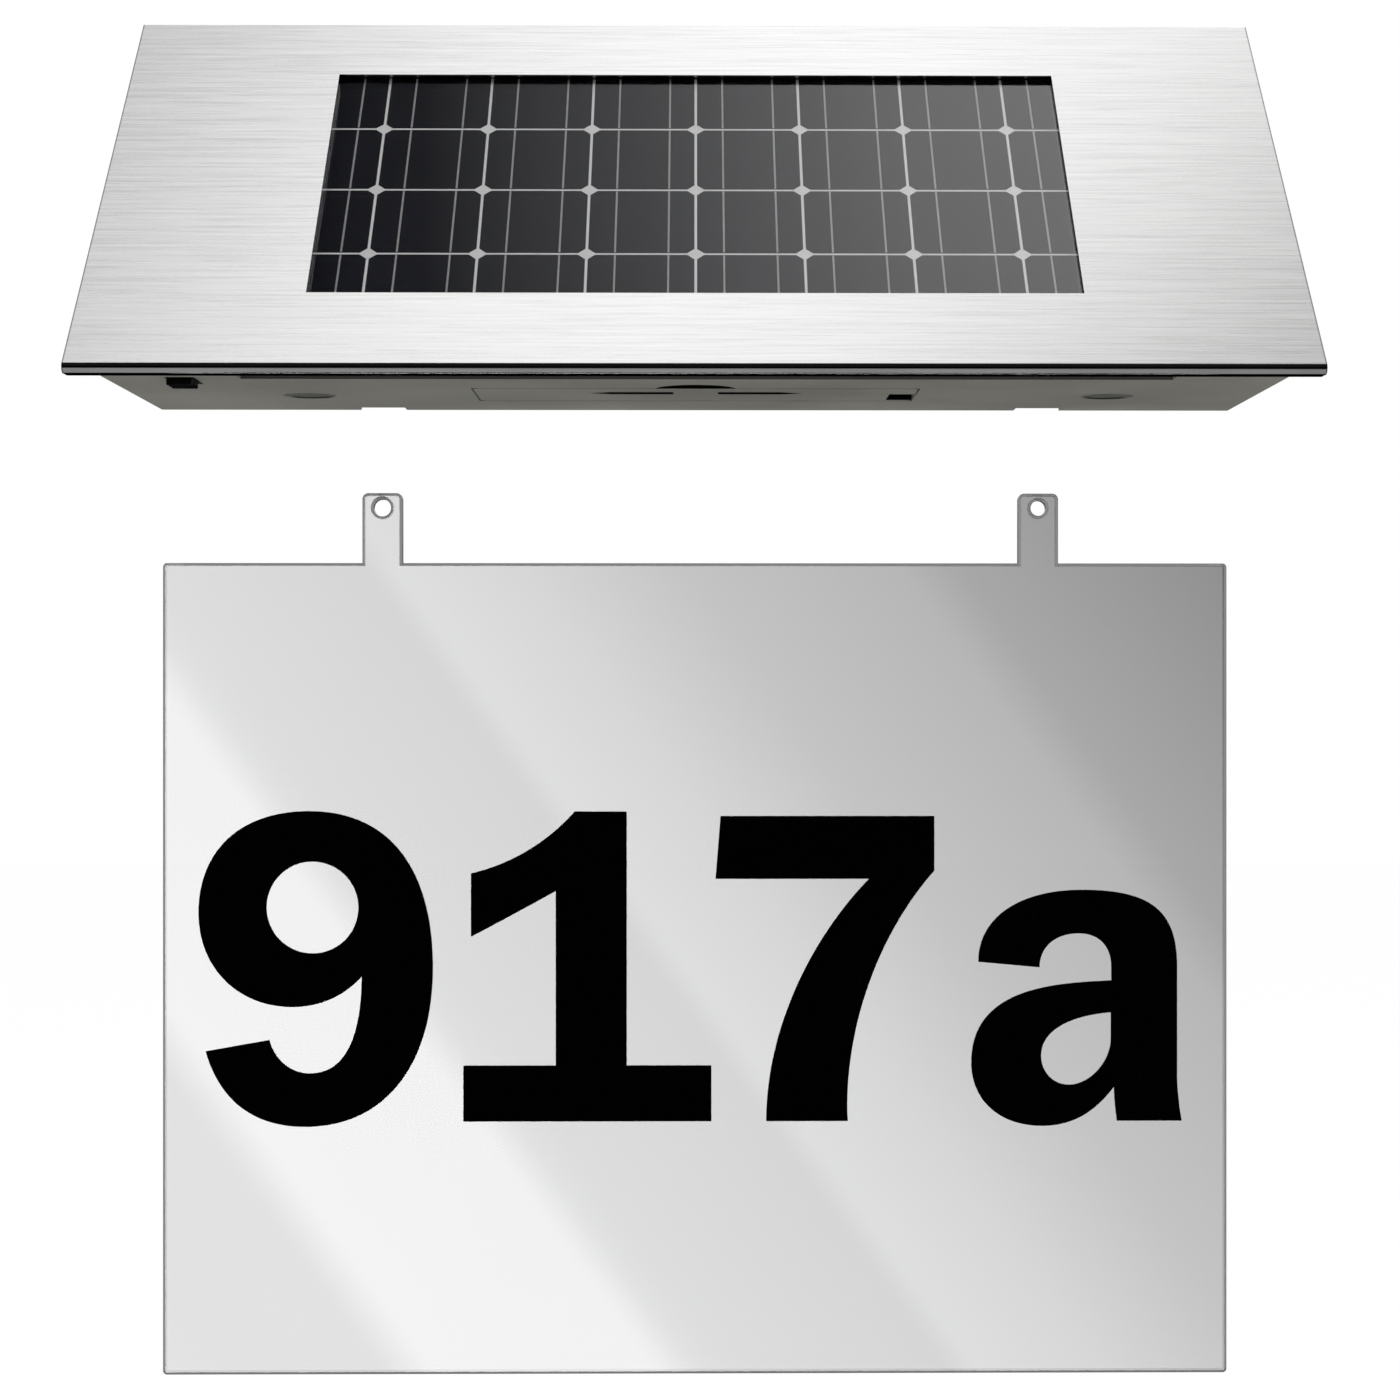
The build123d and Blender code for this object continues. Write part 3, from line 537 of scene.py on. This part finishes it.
def solder_mask():
    """Green board with a faint weave and lighter copper runs."""
    finish = Finish("solder_mask", Roughness=0.28)
    place = finish.place()
    layout = {"Vector": place, "Scale": 160.0, "Mortar Size": 0.16}
    colours = {"Color1": screen(22, 84, 48), "Color2": screen(26, 92, 54), "Mortar": screen(40, 112, 66)}
    runs = finish.node("TexBrick", {**layout, **colours})
    weave = finish.noise(place, scale=1400.0)
    finish.set("Base Color", finish.blend(0.25, runs, finish.mottle(weave, 0.02, 0.12), "OVERLAY"))
    finish.set("Normal", finish.bump(weave, strength=0.1, distance=0.00004))
    return finish


def shrink_sleeve():
    """Battery sleeve with bare metal ends."""
    finish = Finish("shrink_sleeve", Roughness=0.3)
    sideways = finish.math("ABSOLUTE", finish.parts(finish.geometry("True Normal"))["X"])
    ends = finish.ramp(sideways, [(0.80, 0.0), (0.95, 1.0)])
    wrinkle = finish.noise(finish.place(stretch=(40, 400, 400)), scale=1.0)
    sleeve = finish.mottle(wrinkle, screen(28, 92, 138), screen(38, 108, 156))
    finish.set("Base Color", finish.blend(ends, sleeve, screen(196, 194, 188)))
    finish.set("Metallic", ends)
    finish.set("Normal", finish.bump(wrinkle, strength=0.15, distance=0.0001))
    return finish


def soft_cover(name, dark, light, scale):
    """Foam or cable insulation: matt, with fine pores."""
    finish = Finish(name, Specular_IOR_Level=0.2)
    pores = finish.noise(finish.place(), scale, detail=3.0, rough=0.6)
    finish.set("Base Color", finish.mottle(pores, dark, light))
    finish.set("Roughness", finish.spread(pores, low=0.7, high=0.95))
    finish.set("Normal", finish.bump(pores, strength=0.3, distance=0.0001))
    return finish


# Finishes of the solids

dress(brushed_steel(), "roof_sheet")
dress(moulded_plastic("housing_plastic", housing_colour, recess_shade), "housing")
dress(moulded_plastic("lid_plastic", housing_colour, lid_gap_shade), "battery_cover")
dress(moulded_plastic("cover_plastic", cover_colour, narrow_gap_shade), "rear_cover")
dress(moulded_plastic("switch_plastic", knob_colour, narrow_gap_shade), "switch_body", "switch_knob")
dress(panel_glass(), "solar_glass")
dress(silicon(), "solar_cells")
dress(tinned_ribbon(), "cell_busbars")
dress(backing_film(), "solar_backsheet")
dress(acrylic(), "number_pane")
dress(black_foil(), "digit_nine", "digit_one", "digit_seven", "letter_a")
zinc = plated_steel("zinc_plate", screen(170, 172, 176), screen(206, 207, 208))
dress(zinc, "rear_cover_screws", "board_screws")
nickel = plated_steel("nickel_plate", screen(188, 182, 166), screen(216, 211, 196))
dress(nickel, "battery_spring", "battery_plate")
dress(smoked_lens(), "led_lens_left", "led_lens_right")
dress(led_resin(), "led_left", "led_right")
dress(solder_mask(), "circuit_board", "led_board")
dress(shrink_sleeve(), "battery_cell")
foam = soft_cover("foam", screen(38, 38, 38), screen(58, 58, 57), scale=700.0)
dress(foam, "roof_gasket")
insulation = soft_cover("lead_cover", screen(120, 26, 24), screen(150, 36, 32), scale=400.0)
dress(insulation, "solar_lead", "battery_leads", "lamp_lead")


# Camera

def make_camera():
    data = bpy.data.cameras.new("camera")
    data.sensor_width = camera_sensor
    data.lens = camera_lens
    data.shift_x, data.shift_y = camera_shift
    camera = bpy.data.objects.new("camera", data)
    camera.location = (0, -camera_distance, camera_height)
    camera.rotation_euler = (camera_pitch, 0, camera_turn)
    bpy.context.scene.collection.objects.link(camera)
    bpy.context.scene.camera = camera


# World and floor

def glossy_room(tree):
    """Light that glossy surfaces see: white behind, a pale room in front and at the sides, a grey floor, and
    a dark gap overhead, where the lamps are."""
    way = tree.parts(tree.node("TexCoord").outputs["Generated"])
    behind = tree.math("MULTIPLY", tree.rise(way["Y"], *back_wall), tree.rise(way["Z"], *back_foot))
    tilted = tree.math("ADD", way["Z"], tree.math("MULTIPLY", way["Y"], low_tilt))
    below = tree.math("MULTIPLY", tree.rise(tilted, *low_floor), low_level)
    sideways = tree.rise(tree.math("ABSOLUTE", way["X"]), *side_walls)
    beside = tree.math("MULTIPLY", sideways, tree.rise(way["Z"], *side_foot))
    ahead = tree.math("MULTIPLY", tree.rise(way["Y"], *front_wall), tree.rise(way["Z"], *front_foot))
    walls = tree.math("MULTIPLY", tree.math("MAXIMUM", beside, ahead), room_level)
    return tree.math("MAXIMUM", tree.math("MAXIMUM", behind, below), walls)


def make_world():
    """Even light for matt surfaces, a room for glossy ones, and white for what is shown."""
    world = bpy.data.worlds.new("studio")
    bpy.context.scene.world = world
    tree = Nodes(world)
    level = tree.blend(tree.gloss_rays(), grey(world_level), glossy_room(tree))
    shown = tree.blend(tree.shown_rays(), level, grey(shown_level))
    tree.feed(tree.find("Background").inputs["Color"], shown)


def floor_paper():
    """Pale paper that shows nearly white, is dark to glossy surfaces, and can be seen through from below."""
    finish = Finish("floor_paper", Roughness=1.0, Specular_IOR_Level=0.0, Emission_Color=grey(1.0))
    grain = finish.noise(finish.place(), scale=300.0, detail=3.0)
    paper = finish.mottle(grain, floor_tone, floor_tone + floor_grain)
    shown = finish.shown_rays()
    matt = finish.math("SUBTRACT", 1.0, finish.gloss_rays())
    share = finish.math("MULTIPLY", finish.spread(shown, low=1.0, high=floor_share), matt)
    finish.set("Base Color", finish.times(paper, share))
    finish.set("Emission Strength", finish.math("MULTIPLY", shown, floor_lift))
    finish.set("Alpha", finish.math("SUBTRACT", 1.0, finish.geometry("Backfacing")))
    return finish


def make_floor():
    half = floor_size / 2
    height = cad_box[0][2] - floor_drop
    corners = [(-half, -half, height), (half, -half, height), (half, half, height), (-half, half, height)]
    mesh = bpy.data.meshes.new("floor")
    mesh.from_pydata(corners, [], [(0, 1, 2, 3)])
    mesh.materials.append(floor_paper().material)
    floor = bpy.data.objects.new("floor", mesh)
    floor.visible_glossy = False
    bpy.context.scene.collection.objects.link(floor)


# Lamps

def soft_box(name, size, place, aim, level=1.0):
    """Rectangular lamp that points at a place. It shows neither to the camera nor through clear pieces."""
    data = bpy.data.lights.new(name, "AREA")
    data.shape = "RECTANGLE"
    data.size, data.size_y = size
    data.energy = level * math.pi * size[0] * size[1]
    lamp = bpy.data.objects.new(name, data)
    lamp.location = place
    lamp.rotation_euler = (Vector(aim) - Vector(place)).to_track_quat("-Z", "Y").to_euler()
    lamp.visible_camera = False
    lamp.visible_transmission = False
    bpy.context.scene.collection.objects.link(lamp)
    return lamp


def shade_lamp(lamp, direction, span, stops):
    """Grades a lamp's brightness along a direction, with its stops laid over a span."""
    tree = Nodes(lamp.data)
    along = tree.dot(tree.geometry("Position"), direction)
    brightness = tree.ramp(tree.rise(along, *span), stops)
    tree.feed(tree.find("Emission").inputs["Color"], brightness)


def fade_sides(lamp, fade):
    """Lets the brightness of a lamp that faces the wall fall to nothing towards its sides."""
    tree = Nodes(lamp.data)
    inputs = {0: tree.geometry("Position"), 1: lamp.location}
    along = tree.parts(tree.node("VectorMath", inputs, operation="SUBTRACT"))
    wide, tall = lamp.data.size / 2, lamp.data.size_y / 2
    across = tree.rise(tree.math("ABSOLUTE", along["X"]), start=wide, end=wide - fade)
    upright = tree.rise(tree.math("ABSOLUTE", along["Z"]), start=tall, end=tall - fade)
    tree.feed(tree.find("Emission").inputs["Strength"], tree.math("MULTIPLY", across, upright))


def only_for(lamp, names, state="INCLUDE"):
    """Limits a lamp to some solids, or keeps it off them."""
    group = bpy.data.collections.new(lamp.name)
    for name in names:
        group.objects.link(nodes[name])
    for entry in group.collection_objects:
        entry.light_linking.link_state = state
    lamp.light_linking.receiver_collection = group


def make_ceiling_lamp():
    aim = (0.0, ceiling_depth, 0.0)
    lamp = soft_box("ceiling_box", ceiling_size, (0.0, ceiling_depth, lamp_height), aim)
    shade_lamp(lamp, ceiling_direction, ceiling_span, ceiling_stops)
    only_for(lamp, ["solar_glass"], "EXCLUDE")


def make_panel_lamp():
    aim = (0.0, panel_lamp_depth, 0.0)
    lamp = soft_box("panel_box", panel_lamp_size, (0.0, panel_lamp_depth, lamp_height), aim)
    shade_lamp(lamp, panel_direction, panel_span, panel_stops)
    only_for(lamp, ["solar_glass"])


def make_pane_lamp():
    place = (0.0, -pane_lamp_distance, pane_lamp_height)
    aim = (0.0, 0.0, pane_lamp_height)
    lamp = soft_box("pane_box", pane_lamp_size, place, aim, pane_lamp_level)
    shade_lamp(lamp, pane_direction, pane_span, pane_stops)
    fade_sides(lamp, pane_lamp_fade)
    only_for(lamp, ["number_pane"])


make_camera()
make_world()
make_floor()
make_ceiling_lamp()
make_panel_lamp()
make_pane_lamp()

scene = bpy.context.scene
scene.view_settings.view_transform = "Standard"
